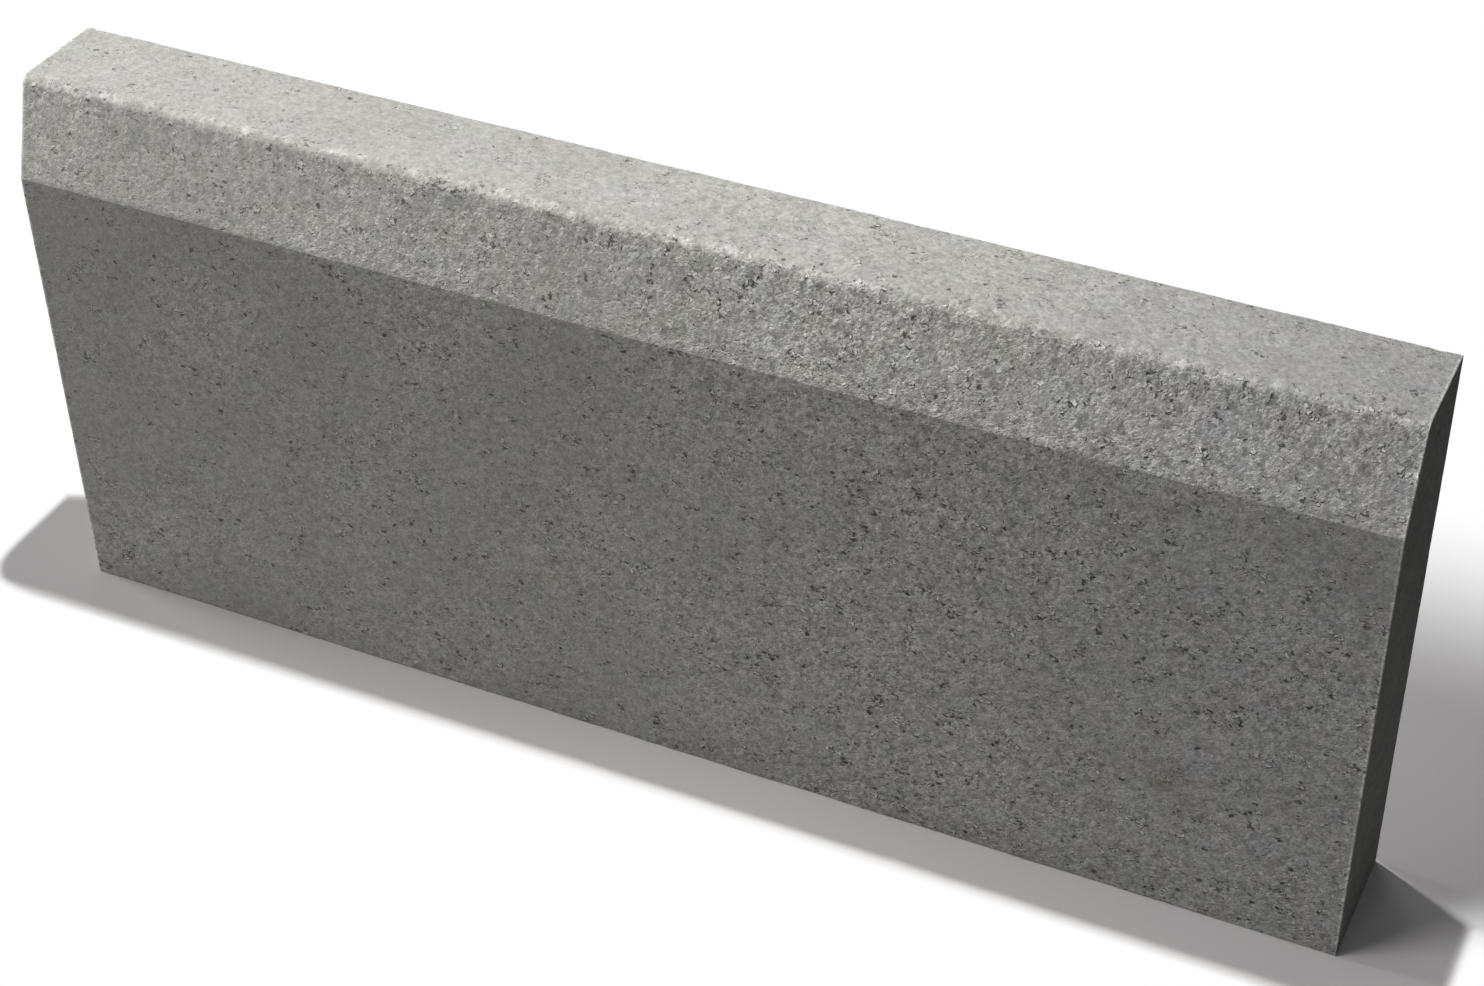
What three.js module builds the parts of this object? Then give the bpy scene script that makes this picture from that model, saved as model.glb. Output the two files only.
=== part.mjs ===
// A concrete kerb stone: one solid block, pressed in a steel mould as a single piece.
// Seen from its end it is an upright slab. The road face stands plumb up to a fold, leans back
// above it in a shallow bevel, and rolls over a rounded shoulder onto the flat top.
// The section never changes, so the stone is that one outline carried along its length.
//
// Units are millimetres. X runs along the kerb, Y from the road side (-) to the pavement
// side (+), and Z upwards. The origin is the middle of the base.

import * as THREE from 'three';

// The block.
const LENGTH = 700;
const HEIGHT = 300;
const THICKNESS = 70;

// The bevel at the top of the road face. Its setback is measured at the top plane, to the
// sharp corner that the shoulder rounds off.
const BEVEL_RISE = 50;
const BEVEL_SETBACK = 16;
const SHOULDER_RADIUS = 6;

// Every square edge leaves the mould with a slight flat on it, as wide as this on each side.
const ARRIS = 0.6;

// Flats that make up the rounded shoulder. An arc gets twice the extrusion's curve segments.
const SHOULDER_FACETS = 20;
const FLATS_PER_SEGMENT = 2;

const RIGHT_ANGLE = Math.PI / 2;

// Cuts a square corner off at 45 degrees. The path arrives along the direction `from` and
// leaves along the direction `to`, both given as unit steps.
function easeCorner(outline, corner, from, to) {
  outline.lineTo(corner.x - from.x * ARRIS, corner.y - from.y * ARRIS);
  outline.lineTo(corner.x + to.x * ARRIS, corner.y + to.y * ARRIS);
}

// The end outline, drawn with the outline's x as Y and its y as Z, anticlockwise from the
// fold down the road face.
function kerbOutline() {
  const roadFace = -THICKNESS / 2;
  const back = THICKNESS / 2;
  const foldHeight = HEIGHT - BEVEL_RISE;

  const up = new THREE.Vector2(0, 1);
  const down = new THREE.Vector2(0, -1);
  const towardsBack = new THREE.Vector2(1, 0);
  const towardsRoad = new THREE.Vector2(-1, 0);

  // The shoulder is a true arc, tangent to the top and to the bevel.
  const bevelTilt = Math.atan2(BEVEL_SETBACK, BEVEL_RISE);
  const shoulderTurn = RIGHT_ANGLE - bevelTilt;
  const shoulderRun = SHOULDER_RADIUS * Math.tan(shoulderTurn / 2);
  const shoulderCentreY = roadFace + BEVEL_SETBACK + shoulderRun;
  const shoulderCentreZ = HEIGHT - SHOULDER_RADIUS;

  const outline = new THREE.Shape();
  outline.moveTo(roadFace, foldHeight);
  easeCorner(outline, new THREE.Vector2(roadFace, 0), down, towardsBack);
  easeCorner(outline, new THREE.Vector2(back, 0), towardsBack, up);
  easeCorner(outline, new THREE.Vector2(back, HEIGHT), up, towardsRoad);
  outline.absarc(
    shoulderCentreY,
    shoulderCentreZ,
    SHOULDER_RADIUS,
    RIGHT_ANGLE,
    RIGHT_ANGLE + shoulderTurn,
    false,
  );
  outline.closePath();
  return outline;
}

// Carries the outline along X and eases the edges of both ends by the same arris.
function kerbGeometry() {
  const geometry = new THREE.ExtrudeGeometry(kerbOutline(), {
    depth: LENGTH - 2 * ARRIS,
    steps: 1,
    curveSegments: Math.ceil(SHOULDER_FACETS / FLATS_PER_SEGMENT),
    bevelEnabled: true,
    bevelThickness: ARRIS,
    bevelSize: ARRIS,
    bevelOffset: -ARRIS,
    bevelSegments: 1,
  });

  // The extrusion runs along its own z from -ARRIS, so it is centred first and then laid
  // down with z along the kerb, x across it and y upwards.
  geometry.translate(0, 0, ARRIS - LENGTH / 2);
  const across = new THREE.Vector3(0, 1, 0);
  const upwards = new THREE.Vector3(0, 0, 1);
  const along = new THREE.Vector3(1, 0, 0);
  geometry.applyMatrix4(new THREE.Matrix4().makeBasis(across, upwards, along));
  return geometry;
}

// Dry grey concrete, slightly warm, with no shine.
function concrete() {
  return new THREE.MeshStandardMaterial({
    color: 0xb0ada7,
    roughness: 0.95,
    metalness: 0,
  });
}

const kerbStone = new THREE.Mesh(kerbGeometry(), concrete());
kerbStone.name = 'kerb_stone';

const part = new THREE.Group();
part.add(kerbStone);

export default part;
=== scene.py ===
import math

import bpy
import numpy as np
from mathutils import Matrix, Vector


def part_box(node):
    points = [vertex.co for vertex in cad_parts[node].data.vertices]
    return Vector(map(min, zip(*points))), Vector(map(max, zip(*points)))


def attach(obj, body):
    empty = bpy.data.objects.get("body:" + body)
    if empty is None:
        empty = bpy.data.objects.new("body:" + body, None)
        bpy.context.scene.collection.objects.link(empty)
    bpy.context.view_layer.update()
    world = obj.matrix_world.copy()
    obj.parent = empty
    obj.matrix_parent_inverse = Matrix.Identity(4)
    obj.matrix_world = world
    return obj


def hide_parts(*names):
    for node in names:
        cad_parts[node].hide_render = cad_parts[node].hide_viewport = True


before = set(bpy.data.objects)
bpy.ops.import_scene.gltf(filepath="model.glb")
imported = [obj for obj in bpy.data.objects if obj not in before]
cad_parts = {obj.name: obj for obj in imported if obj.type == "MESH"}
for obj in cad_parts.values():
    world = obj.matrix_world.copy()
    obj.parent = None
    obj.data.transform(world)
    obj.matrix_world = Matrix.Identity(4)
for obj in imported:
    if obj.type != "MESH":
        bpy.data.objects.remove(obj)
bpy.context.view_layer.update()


# The kerb stone
#
# One block of earth-moist concrete, pressed in a steel mould and stripped at once. Its road
# face leans back in a bevel above a fold and rolls over a shoulder onto the flat top. The skin
# is bare: grey cement paste over sand and fine gravel, more open where the mix was drier.

lowest, highest = (np.array(corner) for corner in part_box("kerb_stone"))
LENGTH, THICKNESS, HEIGHT = (highest - lowest).tolist()
BEVEL_RISE, BEVEL_SETBACK, SHOULDER_RADIUS = 0.050, 0.016, 0.006
FOLD_HEIGHT = HEIGHT - BEVEL_RISE
LEAN = math.atan2(BEVEL_SETBACK, BEVEL_RISE)

# The long square edges and the rims of the ends leave the mould slightly rounded.
LONG_ARRIS, END_ARRIS = 0.0009, 0.0006

# The mesh has faces about 2.4 mm wide, finer ones round the shoulder and a narrow strip of them
# along the rim of each end.
BASE_STEPS, SHOULDER_STEPS, BEVEL_STEPS, FACE_STEPS = 26, 4, 20, 104
SIDE_STEPS = FACE_STEPS + BEVEL_STEPS + SHOULDER_STEPS + 1
STATIONS, RIM_STRIP = 286, 0.0013
SHARPEST_SMOOTH = math.radians(12)


def straight(start, end, steps):
    """Places (y, z) evenly spaced from the start to just before the end, each with the
    outward normal: the direction of travel turned a quarter to its left."""
    start, end = np.array(start), np.array(end)
    share = np.arange(steps)[:, None] / steps
    along = (end - start) / np.linalg.norm(end - start)
    normal = np.tile([-along[1], along[0]], (steps, 1))
    return np.hstack([start + share * (end - start), normal])


def rounding(centre, radius, first, last, steps):
    """Places (y, z) on an arc from the first angle to just before the last, in degrees: the
    centre plus the radius times the cosine and sine of the angle. That pair is the normal."""
    angle = np.radians(first + (last - first) * np.arange(steps) / steps)
    normal = np.stack([np.cos(angle), np.sin(angle)], axis=1)
    return np.hstack([np.array(centre) + radius * normal, normal])


def end_outline():
    """The outline of an end, a closed loop of places and normals in four runs that meet in
    the middle of a corner: base, road side, top and back. Opposite runs have as many steps."""
    road, back, r = -THICKNESS / 2, THICKNESS / 2, LONG_ARRIS
    run = SHOULDER_RADIUS * math.tan((math.pi / 2 - LEAN) / 2)
    sharp_brow = np.array([road + BEVEL_SETBACK, HEIGHT])
    bevel_end = sharp_brow - run * np.array([math.sin(LEAN), math.cos(LEAN)])
    centre = sharp_brow + np.array([run, -SHOULDER_RADIUS])
    bevel_angle = 180 - math.degrees(LEAN)
    middle = (bevel_angle + 90) / 2
    fold = (road, FOLD_HEIGHT)
    return np.vstack([
        rounding((back - r, r), r, -45, -90, 1),
        straight((back - r, 0), (road + r, 0), BASE_STEPS - 2),
        rounding((road + r, r), r, 270, 225, 1),
        rounding((road + r, r), r, 225, 180, 1),
        straight((road, r), fold, FACE_STEPS),
        straight(fold, bevel_end, BEVEL_STEPS),
        rounding(centre, SHOULDER_RADIUS, bevel_angle, middle, SHOULDER_STEPS),
        rounding(centre, SHOULDER_RADIUS, middle, 90, SHOULDER_STEPS),
        straight((centre[0], HEIGHT), (back - r, HEIGHT), BASE_STEPS - SHOULDER_STEPS - 1),
        rounding((back - r, HEIGHT - r), r, 90, 45, 1),
        rounding((back - r, HEIGHT - r), r, 45, 0, 1),
        straight((back, HEIGHT - r), (back, r), SIDE_STEPS - 2),
        rounding((back - r, r), r, 0, -45, 1),
    ])


def stations():
    """Places along the kerb, each with the angle by which the surface has turned there from
    facing along the kerb to facing across it: a quarter round at each end, even steps between."""
    turn = np.radians([0, 45, 90])
    inner = LENGTH / 2 - END_ARRIS
    corner = inner + END_ARRIS * np.cos(turn)
    even = np.linspace(RIM_STRIP - inner, inner - RIM_STRIP, STATIONS)
    place = np.concatenate([-corner, even, corner[::-1]])
    return place, np.concatenate([turn, np.full(STATIONS, math.pi / 2), turn[::-1]])


def end_face(loop):
    """The flat of an end inside its loop, as a grid of places: the blend across plus the
    blend upwards between opposite runs, less the blend of the four corners."""
    first, second, third = BASE_STEPS, BASE_STEPS + SIDE_STEPS, 2 * BASE_STEPS + SIDE_STEPS
    closed = np.vstack([loop, loop[:1]])
    base, road = closed[:first + 1], closed[first:second + 1]
    top, back = closed[second:third + 1][::-1], closed[third:][::-1]
    v = np.linspace(0, 1, BASE_STEPS + 1)[None, :, None]
    w = np.linspace(0, 1, SIDE_STEPS + 1)[:, None, None]
    across = (1 - v) * back[:, None] + v * road[:, None]
    upwards = (1 - w) * base[None] + w * top[None]
    low_corners = (1 - v) * base[0] + v * base[-1]
    high_corners = (1 - v) * top[0] + v * top[-1]
    return across + upwards - ((1 - w) * low_corners + w * high_corners)


def around_end(ring):
    """A grid of numbers for an end face, with its rim filled from the closed ring of one
    station and -1 inside."""
    first, second, third = BASE_STEPS, BASE_STEPS + SIDE_STEPS, 2 * BASE_STEPS + SIDE_STEPS
    grid = np.full((SIDE_STEPS + 1, BASE_STEPS + 1), -1)
    grid[0] = ring[:first + 1]
    grid[:, -1] = ring[first:second + 1]
    grid[-1, ::-1] = ring[second:third + 1]
    grid[::-1, 0] = ring[third:]
    return grid


def quads(grid):
    """The four-sided faces between neighbours in a grid of numbers."""
    return np.stack([grid[:-1, :-1], grid[1:, :-1], grid[1:, 1:], grid[:-1, 1:]], -1).reshape(-1, 4)


# The walls: the outline carried along the stations, and drawn in along its normals at the ends.
outline = end_outline()
place, turn = stations()
facing_end = (np.cos(turn) * np.sign(place))[:, None]
drawn_in = (END_ARRIS * (1 - np.sin(turn)))[:, None, None]
section = outline[None, :, :2] - drawn_in * outline[None, :, 2:]
wall = np.dstack([np.broadcast_to(place[:, None], section.shape[:2]), section])
wall_normal = np.dstack([
    np.broadcast_to(facing_end, section.shape[:2]),
    np.sin(turn)[:, None, None] * outline[None, :, 2:],
])
numbers = np.arange(wall.shape[0] * wall.shape[1]).reshape(wall.shape[:2])
ring = np.hstack([numbers, numbers[:, :1]])

# The skin is unrolled onto a square, for the flat colour map: the walls as one sheet, x along it
# and the way round the outline up it, and the two ends one above the other beside it.
MAP_MARGIN = 0.006
step_round = np.linalg.norm(np.diff(np.vstack([outline, outline[:1]])[:, :2], axis=0), axis=1)
way_round = np.concatenate([[0], np.cumsum(step_round)])
map_size = float(way_round[-1] + 2 * MAP_MARGIN + THICKNESS)
sheet_map = np.dstack(np.broadcast_arrays(
    place[:, None] + LENGTH / 2 + MAP_MARGIN,
    way_round[None, :] + MAP_MARGIN,
))
sheet_numbers = np.arange(ring.size).reshape(ring.shape)

points, normals, faces = [wall.reshape(-1, 3)], [wall_normal.reshape(-1, 3)], [quads(ring)]
map_points, map_faces = [sheet_map.reshape(-1, 2)], [quads(sheet_numbers)]
point_count, map_count = numbers.size, ring.size
for station, side, rise in ((0, -1, 0), (-1, 1, HEIGHT + MAP_MARGIN)):
    flat = end_face(section[station])
    grid = around_end(ring[station])
    inside = grid < 0
    grid[inside] = point_count + np.arange(inside.sum())
    point_count += inside.sum()
    points.append(np.column_stack([np.full(inside.sum(), place[station]), flat[inside]]))
    normals.append(np.tile([side, 0.0, 0.0], (inside.sum(), 1)))
    end_map = flat + [LENGTH + 2 * MAP_MARGIN + THICKNESS / 2, MAP_MARGIN + rise]
    end_numbers = map_count + np.arange(grid.size).reshape(grid.shape)
    map_count += grid.size
    map_points.append(end_map.reshape(-1, 2))
    outward = slice(None) if side > 0 else slice(None, None, -1)
    faces.append(quads(grid[:, outward]))
    map_faces.append(quads(end_numbers[:, outward]))
points, normals, faces = np.vstack(points), np.vstack(normals), np.vstack(faces)
map_points, map_faces = np.vstack(map_points), np.vstack(map_faces)

mesh = bpy.data.meshes.new("kerb_stone_block")
mesh.from_pydata(points.tolist(), [], faces.tolist())
mesh.shade_smooth()
mesh.set_sharp_from_angle(angle=SHARPEST_SMOOTH)
unrolled_map = mesh.uv_layers.new(name="OFBake")
unrolled_map.data.foreach_set("uv", (map_points[map_faces.ravel()] / map_size).ravel())


# The shortest and the longest wave in a swell, as shares of its wavelength.
WAVE_SPREAD = (0.75, 1.35)


def swell(where, wavelength, waves, draw):
    """Smooth unevenness: the sum of plane cosine waves that run in random directions with about
    this wavelength, scaled to a standard deviation of one."""
    way = draw.normal(size=(waves, 3))
    way /= np.linalg.norm(way, axis=1, keepdims=True)
    way /= wavelength * draw.uniform(*WAVE_SPREAD, size=(waves, 1))
    phase = draw.uniform(size=waves)
    return np.cos(2 * math.pi * (where @ way.T + phase)).sum(1) * math.sqrt(2 / waves)


def ease(value, start, end):
    """Goes from 0 at the start to 1 at the end along a smooth S: with t the share of the way,
    3 t squared less 2 t cubed."""
    t = np.clip((value - start) / (end - start), 0, 1)
    return t * t * (3 - 2 * t)


def hill(value, top, width):
    """Rises to 1 at the top and falls away on both sides: e to the power of minus the square of
    the distance from the top, counted in widths."""
    return np.exp(-((value - top) / width) ** 2)


# Where each point lies, and which side of the stone it is on, from the way its normal faces.
FACING, MOSTLY_FACING = 0.9, 0.5
x, y, z = points.T
facing_x, facing_y, facing_z = normals.T
on_road_side = facing_y < -FACING
on_base = facing_z < -FACING
on_end = np.abs(facing_x) > MOSTLY_FACING
draw = np.random.default_rng(seed=21)
BROAD_WAVES, FINE_WAVES = 24, 40

# How open the skin is, from 0 for closed paste to 1 for bare grains. It opens along the kerb,
# from the left to past the middle, and is most open in an upright band that was filled last.
LEFT_SKIN, OPENED_ALONG, OPENS_ALONG = 0.17, 0.55, (-0.27, 0.08)
OPENED_IN_BAND, BAND_PLACE, BAND_WIDTH = 0.35, 0.125, 0.055
OPENED_IN_PATCHES, PATCH_SIZE = 0.16, 0.11
openness = LEFT_SKIN + OPENED_ALONG * ease(x, *OPENS_ALONG)
openness += OPENED_IN_BAND * hill(x, BAND_PLACE, BAND_WIDTH)
openness += OPENED_IN_PATCHES * swell(points, PATCH_SIZE, BROAD_WAVES, draw)

# Above the fold it opens later and more abruptly, and there is an open line just under the
# shoulder. Below the fold it closes again towards the right end.
OPENED_ABOVE, OPENS_ABOVE = 0.13, (-0.06, 0.08)
CLOSED_ABOVE, CLOSED_LEFT, CLOSES_LEFT = 0.03, 0.07, (-0.24, -0.12)
CLOSED_RIGHT, CLOSES_RIGHT = 0.09, (0.20, 0.30)
OPENED_IN_LINE, UNDER_SHOULDER, LINE_WIDTH = 0.15, 0.291, 0.004
above = OPENED_ABOVE * ease(x, *OPENS_ABOVE) - CLOSED_LEFT * ease(x, *CLOSES_LEFT) - CLOSED_ABOVE
openness += above * (z > FOLD_HEIGHT)
openness -= CLOSED_RIGHT * ease(x, *CLOSES_RIGHT) * (z < FOLD_HEIGHT)
openness += OPENED_IN_LINE * hill(z, UNDER_SHOULDER, LINE_WIDTH) * on_road_side

# The top was struck off and the ends were pressed against plates, which closed both. On the
# top it also thins the pits and weakens their painted shade, since light falls into them there.
CLOSED_ON_TOP, TURNS_TO_TOP, CLOSED_ON_ENDS = 0.68, (0.75, 0.98), 0.8
openness *= 1 - CLOSED_ON_TOP * ease(facing_z, *TURNS_TO_TOP)
openness *= 1 - CLOSED_ON_ENDS * on_end
openness = np.clip(openness, 0, 1)

# The relief is pressed inwards from the mould's own planes: the mould's slow unevenness,
# crumbled spots where the skin is open, a ragged shoulder, and nicks in the rim of each end.
# A spot or a nick starts at the first value of its spread and is fully deep at the second.
MOULD_DEPTH, MOULD_SWING, MOULD_WAVE, LEAST_DEPTH = 0.00022, 0.00009, 0.045, 0.00002
CRUMBLE_DEPTH, CRUMBLE_SIZE, CRUMBLE_SPREAD, CRUMBLE_LEAST = 0.00045, 0.0095, (1.05, 2.3), 0.35
RAGGED_DEPTH, RAGGED_SIZE = 0.00022, 0.0075
NICK_DEPTH, NICK_SIZE, NICK_SPREAD = 0.00025, 0.011, (0.6, 2.2)
SHOULDER_RISES, SHOULDER_FLATTENS = (18, 40), (55, 89)
turned_up = np.degrees(np.arctan2(facing_z, -facing_y))
on_shoulder = ease(turned_up, *SHOULDER_RISES) * (1 - ease(turned_up, *SHOULDER_FLATTENS)) * ~on_end
at_rim = np.zeros(len(points))
rim_station = np.abs(place) > LENGTH / 2 - END_ARRIS - RIM_STRIP / 2
at_rim[:numbers.size] = np.repeat(rim_station, len(outline))
slow = MOULD_DEPTH + MOULD_SWING * swell(points, MOULD_WAVE, BROAD_WAVES, draw)
crumble = CRUMBLE_DEPTH * ease(swell(points, CRUMBLE_SIZE, FINE_WAVES, draw), *CRUMBLE_SPREAD)
crumble *= CRUMBLE_LEAST + (1 - CRUMBLE_LEAST) * openness
ragged = RAGGED_DEPTH * np.abs(swell(points, RAGGED_SIZE, FINE_WAVES, draw)) * on_shoulder
nicks = NICK_DEPTH * ease(swell(points, NICK_SIZE, FINE_WAVES, draw), *NICK_SPREAD) * at_rim
depth = np.clip(slow, LEAST_DEPTH, None) + crumble + ragged + nicks

# The base stays flat, and near the ends the relief is held back so that they stay square.
NEAR_END, HELD_BACK = 0.004, 0.7
depth *= ~on_base
depth *= 1 - HELD_BACK * (np.abs(x) > LENGTH / 2 - NEAR_END)

# How much the skin is paled: fully on the rim of each end, a painted highlight; lightly over the
# bevel, painted light that brightens that face, more at the left than the right; and in patches
# along the shoulder's brow, also more at the left.
BEVEL_PAINTED_LIGHT, BEVEL_PAINTED_LIGHT_LEFT, BEVEL_LEFT = 0.28, 0.14, (-0.05, -0.30)
BEVEL_FACING, BEVEL_FLATTENS = 0.05, (0.35, 0.85)
BROW_PALING, BROW_PALING_LEFT, BROW_LEFT, BROW_WIDTH = 0.24, 0.09, (0.12, -0.15), 0.0045
BROW_PATCH, BROW_PATCH_SWING, BROW_PATCH_LEAST, BROW_PATCH_MOST = 0.0085, 0.5, 0.1, 2.1
brow = -THICKNESS / 2 + BEVEL_SETBACK
on_bevel = (z > FOLD_HEIGHT) * (facing_y < -BEVEL_FACING) * (1 - ease(facing_z, *BEVEL_FLATTENS))
bevel_painted_light = (BEVEL_PAINTED_LIGHT + BEVEL_PAINTED_LIGHT_LEFT * ease(x, *BEVEL_LEFT)) * on_bevel
brow_paling = (BROW_PALING + BROW_PALING_LEFT * ease(x, *BROW_LEFT)) * hill(y, brow, BROW_WIDTH)
brow_patches = 1 + BROW_PATCH_SWING * swell(points, BROW_PATCH, FINE_WAVES, draw)
brow_paling *= np.clip(brow_patches, BROW_PATCH_LEAST, BROW_PATCH_MOST) * (z > HEIGHT - SHOULDER_RADIUS)
painted_light_and_rub = np.maximum(np.maximum(at_rim, bevel_painted_light), brow_paling)

# Two iron-bearing grains have rusted and stained the road face round them. Each is given by
# its place along the kerb, its height and how far the stain has spread.
rust = np.zeros(len(points))
for rust_place, rust_height, spread in ((0.260, 0.077, 0.009), (-0.199, 0.027, 0.003)):
    rust += hill(x, rust_place, spread) * hill(z, rust_height, spread) * on_road_side

pressed = points - depth[:, None] * normals
mesh.vertices.foreach_set("co", pressed.astype(np.float32).ravel())
for name, value in (("openness", openness), ("painted_light_and_rub", painted_light_and_rub), ("rust", rust)):
    mesh.attributes.new(name, "FLOAT", "POINT").data.foreach_set("value", value.astype(np.float32))
mesh.update()

stone = bpy.data.objects.new("kerb_stone_block", mesh)
bpy.context.scene.collection.objects.link(stone)

concrete = bpy.data.materials.new("pressed_concrete")
concrete.use_nodes = True
tree = concrete.node_tree


def add(kind, inputs, **settings):
    """Adds a node to the tree in hand, gives it its settings, then links each input that is
    an amount or another node's socket and sets each that is a plain value."""
    node = tree.nodes.new(kind)
    for name, value in settings.items():
        setattr(node, name, value)
    for name, value in inputs.items():
        if isinstance(value, Amount):
            value = value.socket
        if isinstance(value, bpy.types.NodeSocket):
            tree.links.new(value, node.inputs[name])
        else:
            node.inputs[name].default_value = value
    return node


class Amount:
    """A number that varies over a surface, as one output of a node. The signs +, - and *
    add the node that does that arithmetic with another amount or a plain number."""

    def __init__(self, socket):
        self.socket = socket

    def __add__(self, other):
        return work_out("ADD", self, other)

    def __sub__(self, other):
        return work_out("SUBTRACT", self, other)

    def __rsub__(self, other):
        return work_out("SUBTRACT", other, self)

    def __mul__(self, other):
        return work_out("MULTIPLY", self, other)

    __radd__, __rmul__ = __add__, __mul__


def work_out(operation, *values):
    """The amount that one step of arithmetic gives."""
    return Amount(add("ShaderNodeMath", dict(enumerate(values)), operation=operation).outputs[0])


def larger(one, other):
    """The larger of two amounts."""
    return work_out("MAXIMUM", one, other)


def smaller(one, other):
    """The smaller of two amounts."""
    return work_out("MINIMUM", one, other)


def on_parts(operation, *values):
    """One step of arithmetic on each part of a place or a colour."""
    return add("ShaderNodeVectorMath", dict(enumerate(values)), operation=operation).outputs[0]


def scaled(colour, lightness):
    """The colour times the lightness."""
    inputs = {0: colour, "Scale": lightness}
    return add("ShaderNodeVectorMath", inputs, operation="SCALE").outputs[0]


def fade(value, start, end, at_start=0.0, at_end=1.0):
    """Goes from at_start to at_end in a smooth S as the value goes from the start to the end."""
    inputs = {"Value": value, "From Min": start, "From Max": end, "To Min": at_start, "To Max": at_end}
    node = add("ShaderNodeMapRange", inputs, interpolation_type="SMOOTHSTEP")
    return Amount(node.outputs["Result"])


def noise(dimensions, output, **inputs):
    """An output of a noise texture in so many dimensions, with its inputs given by name."""
    return add("ShaderNodeTexNoise", inputs, noise_dimensions=dimensions).outputs[output]


def kept_on_mesh(name):
    """An amount kept on the mesh's points."""
    return Amount(add("ShaderNodeAttribute", {}, attribute_name=name).outputs["Fac"])


# The grains are laid out on the unrolled skin. They lie a little flat, and past the fold they
# are drawn out up the slope. The layout is turned, so that no row of them runs with the kerb.
# The fold is the outline's point after the base, one step of a corner and the road face.
WIDENED, FLATTENED, DRAWN, DRAWN_ALONG = 0.88, 1.1, 0.012, (0.0016, 0.0686)
TURNED = math.radians(37)
unrolled = add("ShaderNodeUVMap", {}, uv_map=unrolled_map.name).outputs["UV"]
map_place = add("ShaderNodeSeparateXYZ", {0: unrolled}).outputs
map_along = Amount(map_place["X"])
up_way = Amount(map_place["Y"]) * map_size
fold_way = float(way_round[BASE_STEPS + 1 + FACE_STEPS]) + MAP_MARGIN
past_fold = up_way - fold_way
drawn = fade(past_fold, *DRAWN_ALONG, 0.0, DRAWN)
layout = {"X": map_along * (WIDENED * map_size), "Y": up_way * FLATTENED - drawn}
layout = {"Vector": add("ShaderNodeCombineXYZ", layout).outputs[0], "Rotation": (0, 0, TURNED)}
on_skin = add("ShaderNodeMapping", layout).outputs[0]
open_skin, painted_light_and_rub_skin = kept_on_mesh("openness"), kept_on_mesh("painted_light_and_rub")


def cloud(size, detail, roughness=0.5):
    """Soft random patches, about 0.5 on average, with the broadest ones this size in metres."""
    inputs = {"Vector": on_skin, "Scale": 1 / size, "Detail": detail, "Roughness": roughness}
    return Amount(noise("2D", "Fac", **inputs))


def grit(spacing):
    """Packed grains about this far apart on the unrolled skin, crumpled by a noise of their own
    size: a random share to choose each grain by, another for its tone, and the distance from
    its middle as a share of the spacing."""
    crumple = noise("2D", "Color", Vector=on_skin, Scale=1 / spacing, Detail=1.0)
    crumpled = on_parts("MULTIPLY_ADD", crumple, (CRUMPLED * spacing,) * 3, on_skin)
    inputs = {"Vector": crumpled, "Scale": 1 / spacing}
    cells = add("ShaderNodeTexVoronoi", inputs, voronoi_dimensions="2D").outputs
    lot = add("ShaderNodeSeparateColor", {"Color": cells["Color"]}).outputs
    return Amount(lot["Red"]), Amount(lot["Green"]), Amount(cells["Distance"])


def chosen(lot, share):
    """1 for the grains whose random share is below this one and 0 for the rest."""
    return fade(lot - share, LOT_BLEND, -LOT_BLEND)


# The skin is packed sand and fine gravel in cement. Here and there a grain is missing and
# leaves a pit, darkened with painted shade, or one stands proud, more often where the skin is
# open and where the paste ran short. Where the skin is paled by the painted light and rub above,
# a closed skin loses a few grains of sand too.
SAND, GRAVEL, CRUMPLED, LOT_BLEND = 0.0012, 0.0026, 1.4, 0.01
STARVED_PATCH, STARVED_SWING = 0.012, 1.6
SHORT_OPEN, SHORT_CLOSED = 0.12, 0.025
SAND_SHARE, GRAVEL_SHARE, GRAVEL_KEPT = 0.75, 0.48, 0.016
SCOURED, SCOURED_BY = 0.12, 0.3
SAND_PIT_SHADE, SAND_PIT_SHADE_EDGE = 0.7, (0.55, 0.30)
GRAVEL_PIT_SHADE, GRAVEL_PIT_SHADE_EDGE = 1.15, (0.55, 0.25)
CRUMB_EDGE, PROUD_HIGHLIGHT, PROUD_HIGHLIGHT_EDGE = (0.65, 0.30), 0.55, (0.42, 0.20)
starved = cloud(STARVED_PATCH, detail=3, roughness=0.6) - 0.5
shortage = (open_skin * SHORT_OPEN - SHORT_CLOSED) - starved * STARVED_SWING
sand_lot, sand_tone, sand_distance = grit(SAND)
gravel_lot, gravel_tone, gravel_distance = grit(GRAVEL)
scoured = fade(painted_light_and_rub_skin, 0.0, SCOURED_BY, 0.0, SCOURED) * (1.0 - open_skin)
sand_gone = chosen(sand_lot, larger(shortage * SAND_SHARE, scoured))
gravel_share = shortage * GRAVEL_SHARE - GRAVEL_KEPT
gravel_gone = chosen(gravel_lot, gravel_share)
gravel_proud = chosen(1.0 - gravel_lot, gravel_share)
# The pits' painted shade, strongest in their middle.
sand_pit_shade = sand_gone * fade(sand_distance, *SAND_PIT_SHADE_EDGE, 0.0, SAND_PIT_SHADE)
gravel_pit_shade = gravel_gone * fade(gravel_distance, *GRAVEL_PIT_SHADE_EDGE, 0.0, GRAVEL_PIT_SHADE)
pit_shade = larger(sand_pit_shade, gravel_pit_shade)
crumb = gravel_proud * fade(gravel_distance, *CRUMB_EDGE)
# The proud grains are painted pale round their middle, a painted highlight for the light they catch.
proud_grain_highlight = gravel_proud * fade(gravel_distance, *PROUD_HIGHLIGHT_EDGE, 0.0, PROUD_HIGHLIGHT)
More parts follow.
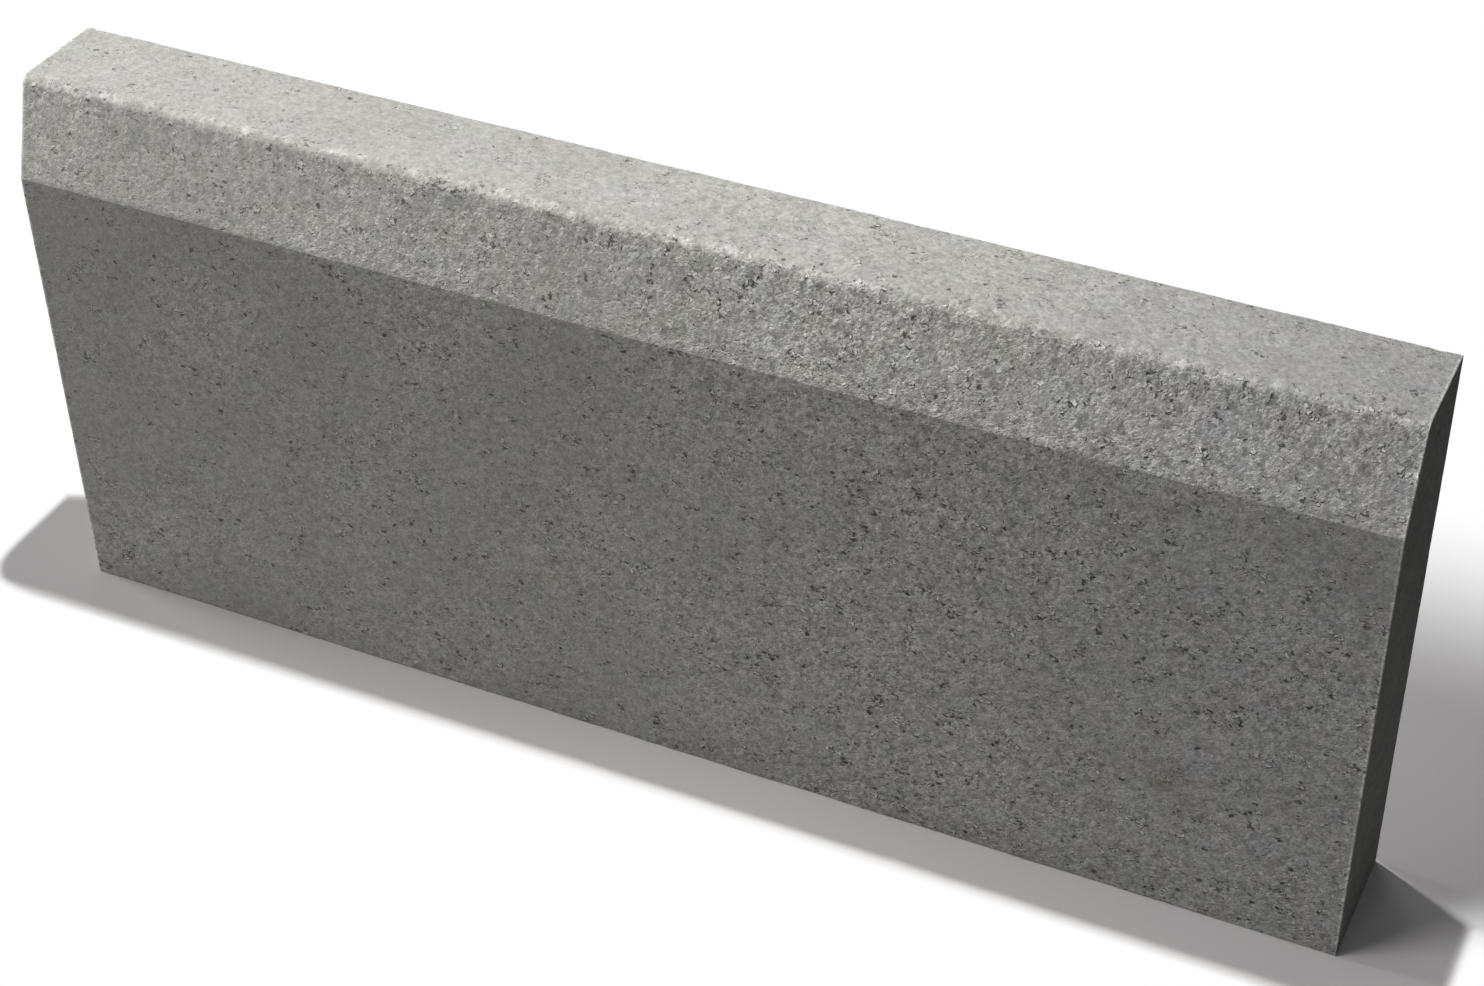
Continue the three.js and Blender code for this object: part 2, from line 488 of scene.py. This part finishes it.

# Each grain has its own tone, and the paste between them is hazy. All of it shows more where the
# skin is open, and is paler there. A slow mottle lies over the whole, and the pits are darkened
# with painted shade, a little more where the skin is open.
SAND_SWING, GRAVEL_SWING, HAZE_SWING, HAZE_PATCH = 0.46, 0.30, 0.62, 0.0045
MOTTLE_SWING, MOTTLE_PATCH, MOTTLE_SPREAD = 0.04, 0.040, (0.25, 0.75)
GRAIN_CLOSED, GRAIN_OPEN, GRAIN_OPENS = 0.46, 1.15, (-0.1, 1.1)
CLOSED_TONE, OPEN_TONE = 0.96, 1.18
CLOSED_SHADE, OPEN_SHADE = 0.50, 0.62
graininess = fade(open_skin, *GRAIN_OPENS, GRAIN_CLOSED, GRAIN_OPEN)
speckle = (sand_tone - 0.5) * SAND_SWING + (gravel_tone - 0.5) * GRAVEL_SWING + proud_grain_highlight
haze = cloud(HAZE_PATCH, detail=2, roughness=0.6) - 0.5
lightness = (haze * HAZE_SWING + speckle) * graininess + CLOSED_TONE
lightness = lightness * fade(open_skin, 0, 1, 1.0, OPEN_TONE)
mottle = cloud(MOTTLE_PATCH, detail=3, roughness=0.55)
lightness = lightness * fade(mottle, *MOTTLE_SPREAD, 1 - MOTTLE_SWING, 1 + MOTTLE_SWING)
lightness = lightness * (1.0 - pit_shade * fade(open_skin, 0, 1, CLOSED_SHADE, OPEN_SHADE))

# Stripping the mould has scored the top of the bevel, up to the shoulder, with fine dark ticks.
# Each runs up the slope and wanders a little to the side. They set in and stop over these
# stretches of the way past the fold.
TICKS_SET_IN, TICKS_STOP = (0.0356, 0.0476), (0.0511, 0.0471)
TICK_SPACING, TICK_WANDER, TICK_PATCH = 0.0007, 6.0, 0.004
TICK_SHADE, TICK_EDGE = 0.20, (0.47, 0.33)
scored = fade(past_fold, *TICKS_SET_IN) * fade(past_fold, *TICKS_STOP)
tick_place = cloud(TICK_PATCH, detail=1) * TICK_WANDER + map_along * (map_size / TICK_SPACING)
ticks = Amount(noise("1D", "Fac", W=tick_place, Scale=1.0, Detail=1.0))
lightness = lightness * (1.0 - scored * fade(ticks, *TICK_EDGE, 0.0, TICK_SHADE))

# The paling, painted highlight and painted light, brightens the grains unevenly, the pale ones most.
PALED_SAND, PALED_GRAVEL, PALED_LEAST, PALED_TONE = 0.4, 0.35, 0.62, 1.6
paled_grains = sand_tone * PALED_SAND + (gravel_tone * PALED_GRAVEL + PALED_LEAST)
lightness = lightness * fade(painted_light_and_rub_skin * paled_grains, 0, 1, 1.0, PALED_TONE)

# The cement is warm at the left and cooler at the right, with faint patches of tint, and
# brown where it is stained.
WARM_CEMENT, COOL_CEMENT = (0.434, 0.423, 0.398, 1), (0.430, 0.424, 0.413, 1)
COOLS_ALONG = (0.12, 0.30)
TINT_PATCH, TINT_LEAST, TINT_SWING = 0.017, (0.95, 0.975, 0.94), (0.10, 0.05, 0.12)
RUSTY, RUST_ON_DARK, RUST_ON_PALE = (0.86, 0.77, 0.69), 0.3, 1.3
in_stone = add("ShaderNodeTexCoord", {}).outputs["Object"]
along_kerb = Amount(add("ShaderNodeSeparateXYZ", {0: in_stone}).outputs["X"])
cements = {0: fade(along_kerb, *COOLS_ALONG), 6: WARM_CEMENT, 7: COOL_CEMENT}
cement = add("ShaderNodeMix", cements, data_type="RGBA").outputs[2]
patches = noise("3D", "Color", Vector=in_stone, Scale=1 / TINT_PATCH, Detail=2.0)
cement = on_parts("MULTIPLY", cement, on_parts("MULTIPLY_ADD", patches, TINT_SWING, TINT_LEAST))
rusty = kept_on_mesh("rust") * fade(sand_tone, 0, 1, RUST_ON_DARK, RUST_ON_PALE)
stains = {0: rusty, 4: cement, 5: on_parts("MULTIPLY", cement, RUSTY)}
cement = add("ShaderNodeMix", stains, data_type="VECTOR").outputs[1]

# Heights are in millimetres. Each grain is a low dome, or a hollow where it is missing. The
# hollow starts outside the pit's middle of painted shade, so that its sides catch light.
SAND_HEIGHT, GRAVEL_HEIGHT, CRUMB_HEIGHT, HOLLOW, DOME = 0.17, 0.27, 0.90, 1.6, (0.7, 0.0)
MILLIMETRE = 0.001
sand_dome = fade(sand_distance, *DOME) * (sand_tone - sand_gone * HOLLOW)
gravel_dome = fade(gravel_distance, *DOME) * (gravel_tone - gravel_gone * HOLLOW)
height = sand_dome * SAND_HEIGHT + gravel_dome * GRAVEL_HEIGHT + crumb * CRUMB_HEIGHT
bump = {"Strength": 1.0, "Distance": MILLIMETRE, "Height": height * graininess}
relief = add("ShaderNodeBump", bump).outputs["Normal"]

PASTE_ROUGHNESS, PIT_ROUGHNESS = 0.9, 1.0
shader = tree.nodes["Principled BSDF"]
tree.links.new(scaled(cement, lightness), shader.inputs["Base Color"])
tree.links.new(relief, shader.inputs["Normal"])
roughness = fade(pit_shade, 0, 1, PASTE_ROUGHNESS, PIT_ROUGHNESS)
tree.links.new(roughness.socket, shader.inputs["Roughness"])
shader.inputs["Specular IOR Level"].default_value = 0.02
mesh.materials.append(concrete)

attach(stone, "root")
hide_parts("kerb_stone")


# The floor
#
# A pale sheet under the stone. It is matt paint where the stone's shadows lie, and plain white
# further out and past the shadows' edges. The paint's tone is painted shadow, darker or paler in
# places so that the shadows come out deeper and more even. It throws little light back onto the
# stone.

FLOOR_SIDE = 12.0
half = FLOOR_SIDE / 2
floor_mesh = bpy.data.meshes.new("floor")
floor_corners = [(-half, -half, 0), (half, -half, 0), (half, half, 0), (-half, half, 0)]
floor_mesh.from_pydata(floor_corners, [], [(0, 1, 2, 3)])
floor = bpy.data.objects.new("floor", floor_mesh)
bpy.context.scene.collection.objects.link(floor)
paint = bpy.data.materials.new("floor_paint")
paint.use_nodes = True
tree = paint.node_tree
tree.nodes.clear()
floor_place = add("ShaderNodeTexCoord", {}).outputs["Object"]
floor_parts = add("ShaderNodeSeparateXYZ", {0: floor_place}).outputs
floor_x, floor_y = Amount(floor_parts["X"]), Amount(floor_parts["Y"])

# The short shadow lies in front of the stone and past both its ends. Its outer edges are
# straight lines, with round corners between them.
SHADOW_FRONT, SHADOW_LEFT, SHADOW_RIGHT, SHADOW_CORNER = 0.064, 0.404, 0.401, 0.045
EDGE_BLEND = 0.006
past_front = -SHADOW_FRONT - floor_y
past_ends = larger(-SHADOW_LEFT - floor_x, floor_x - SHADOW_RIGHT)
clear = fade(work_out("SMOOTH_MAX", past_front, past_ends, SHADOW_CORNER), 0.0, EDGE_BLEND)

# The long shadow's near side runs back and to the right from the stone's near right corner.
# What lies in it stays painted.
LONG_SHADOW_SLOPE, LONG_SHADOW_BLEND = 0.8, 0.024
past_right = floor_x - LENGTH / 2
from_side = (floor_y + THICKNESS / 2) - past_right * LONG_SHADOW_SLOPE
in_long_shadow = smaller(past_right, from_side)
clear = clear * fade(in_long_shadow, LONG_SHADOW_BLEND, -LONG_SHADOW_BLEND)

# At the left end the short shadow stops at a line from the stone's far left corner, and at the
# right end at one from its far right corner, past which only the long shadow is left.
LEFT_LINE_SLOPE, RIGHT_LINE_SLOPE, LINE_BLEND = 0.41, 0.4545, 0.004
past_left = -LENGTH / 2 - floor_x
past_left_line = past_left * LEFT_LINE_SLOPE + floor_y - THICKNESS / 2
clear = larger(clear, fade(smaller(past_left, past_left_line), 0.0, EDGE_BLEND))

# Behind the stone the right line is kept just under it, where its blend doesn't show.
KEPT_UNDER, RIGHT_SIDE_BLEND = 0.01, (0.036, -0.034)
beside_line = larger(past_right, smaller(LENGTH / 2 - floor_x, KEPT_UNDER))
past_right_line = beside_line * RIGHT_LINE_SLOPE + floor_y - THICKNESS / 2
past_right_line = fade(past_right_line, -LINE_BLEND, LINE_BLEND)
clear = larger(clear, past_right_line * fade(from_side, *RIGHT_SIDE_BLEND))

# The long shadow fades away from the stone, and further out the sheet is plain white.
WHITE_FROM, WHITE_BY = 0.12, 0.30
outside = on_parts("SUBTRACT", on_parts("ABSOLUTE", floor_place), (LENGTH / 2, THICKNESS / 2, 0))
outside = on_parts("MAXIMUM", outside, (0, 0, 0))
distance = add("ShaderNodeVectorMath", {0: outside}, operation="LENGTH").outputs["Value"]
blank = larger(clear, fade(Amount(distance), WHITE_FROM, WHITE_BY))

# In front of the stone the paint is darker at the left and paler at the right end: painted shade
# and painted light that even out the short shadow. Past the right line and behind the stone it
# has one darker tone, a painted shadow that deepens the long shadow. It is slightly warm.
PALE, PALE_TINT = 0.744, (1.03, 1.0, 1.0)
PAINTED_SHADE_LEFT, PAINTED_LIGHT_RIGHT, PAINTED_SHADE_ALONG = 0.62 * PALE, 1.16 * PALE, (-0.42, 0.10)
PAINTED_LIGHT_AT_END, PAINTED_LIGHT_AT_END_ALONG = 0.17 * PALE, (0.33, 0.38)
PAINTED_LONG_SHADOW = 0.72 * PALE
front_painted_shade = fade(floor_x, *PAINTED_SHADE_ALONG, PAINTED_SHADE_LEFT, PAINTED_LIGHT_RIGHT)
front_painted_shade = front_painted_shade + fade(floor_x, *PAINTED_LIGHT_AT_END_ALONG, 0.0, PAINTED_LIGHT_AT_END)
painted_shadow_tone = scaled(PALE_TINT, fade(past_right_line, 0, 1, front_painted_shade, PAINTED_LONG_SHADOW))


def seen():
    """1 for a ray that shows the surface to the camera, straight, mirrored or through glass,
    and 0 for the rays that carry light from one surface to another."""
    path = add("ShaderNodeLightPath", {}).outputs
    straight_or_mirrored = larger(Amount(path["Is Camera Ray"]), Amount(path["Is Glossy Ray"]))
    return larger(straight_or_mirrored, Amount(path["Is Transmission Ray"]))


THROWN_BACK = (0.2, 0.2, 0.2, 1)
pale = add("ShaderNodeBsdfDiffuse", {"Color": painted_shadow_tone}).outputs[0]
white = add("ShaderNodeEmission", {"Color": (1, 1, 1, 1), "Strength": 1.0}).outputs[0]
dull = add("ShaderNodeBsdfDiffuse", {"Color": THROWN_BACK}).outputs[0]
shown = add("ShaderNodeMixShader", {0: blank, 1: pale, 2: white}).outputs[0]
surface = add("ShaderNodeMixShader", {0: seen(), 1: dull, 2: shown}).outputs[0]
add("ShaderNodeOutputMaterial", {"Surface": surface})
floor_mesh.materials.append(paint)


# The lamps
#
# A small lamp high above the stone throws the short shadow, and a broad soft one in front of
# its left end throws the long one. Fainter ones keep the other sides from going black. The
# studio's walls are seen as white and throw back hardly any light.

AMBIENT = 0.05
studio = bpy.data.worlds.new("studio")
studio.use_nodes = True
tree = studio.node_tree
tree.nodes.clear()
brightness = fade(seen(), 0, 1, AMBIENT, 1.0)
sky = add("ShaderNodeBackground", {"Color": (1, 1, 1, 1), "Strength": brightness}).outputs[0]
add("ShaderNodeOutputWorld", {"Surface": sky})
bpy.context.scene.world = studio


def hang(light, place, aim):
    """Puts a lamp with this light at a place, turned to shine at the aim."""
    lamp = bpy.data.objects.new(light.name, light)
    lamp.location = place
    lamp.rotation_mode = "QUATERNION"
    lamp.rotation_quaternion = (Vector(aim) - Vector(place)).to_track_quat("-Z", "Y")
    lamp.visible_camera = False
    bpy.context.scene.collection.objects.link(lamp)


def soft_lamp(name, place, width, power):
    """A round white lamp of this width at a place, turned to shine at the stone's middle."""
    light = bpy.data.lights.new(name, "AREA")
    light.shape = "DISK"
    light.size = width
    light.energy = power
    hang(light, place, (0, 0, HEIGHT / 2))


overhead = bpy.data.lights.new("overhead_lamp", "SPOT")
overhead.spot_size = math.radians(54)
overhead.spot_blend = 1.0
overhead.shadow_soft_size = 0.022
overhead.energy = 115
hang(overhead, place=(0.014, 0.185, 2.22), aim=(-0.3, 0, HEIGHT / 2))
soft_lamp("left_lamp", place=(-3.06, -2.45, 3.56), width=2.6, power=86)
soft_lamp("near_left_lamp", place=(-1.4, 0, 1.0), width=0.5, power=10.5)
soft_lamp("front_lamp", place=(0.2, -3.06, 1.02), width=2.0, power=8.5)
soft_lamp("back_lamp", place=(-1.43, 2.38, 1.29), width=2.0, power=10)


# The camera
#
# It stands in front of the stone, past its right end and above it, and looks back to the left
# and down. The shifts slide the frame and not the view.

AZIMUTH, ELEVATION = math.radians(24.294), math.radians(38.608)
camera_data = bpy.data.cameras.new("camera")
camera_data.sensor_width = 36.0
camera_data.lens = 68.74
camera_data.shift_x = -0.04646
camera_data.shift_y = 0.03573
camera = bpy.data.objects.new("camera", camera_data)
camera.location = (0.50383, -0.97587, 0.98274)
camera.rotation_mode = "QUATERNION"
level = math.cos(ELEVATION)
backwards = Vector((math.sin(AZIMUTH) * level, -math.cos(AZIMUTH) * level, math.sin(ELEVATION)))
camera.rotation_quaternion = (-backwards).to_track_quat("-Z", "Y")
bpy.context.scene.collection.objects.link(camera)
bpy.context.scene.camera = camera
bpy.context.scene.view_settings.view_transform = "Standard"
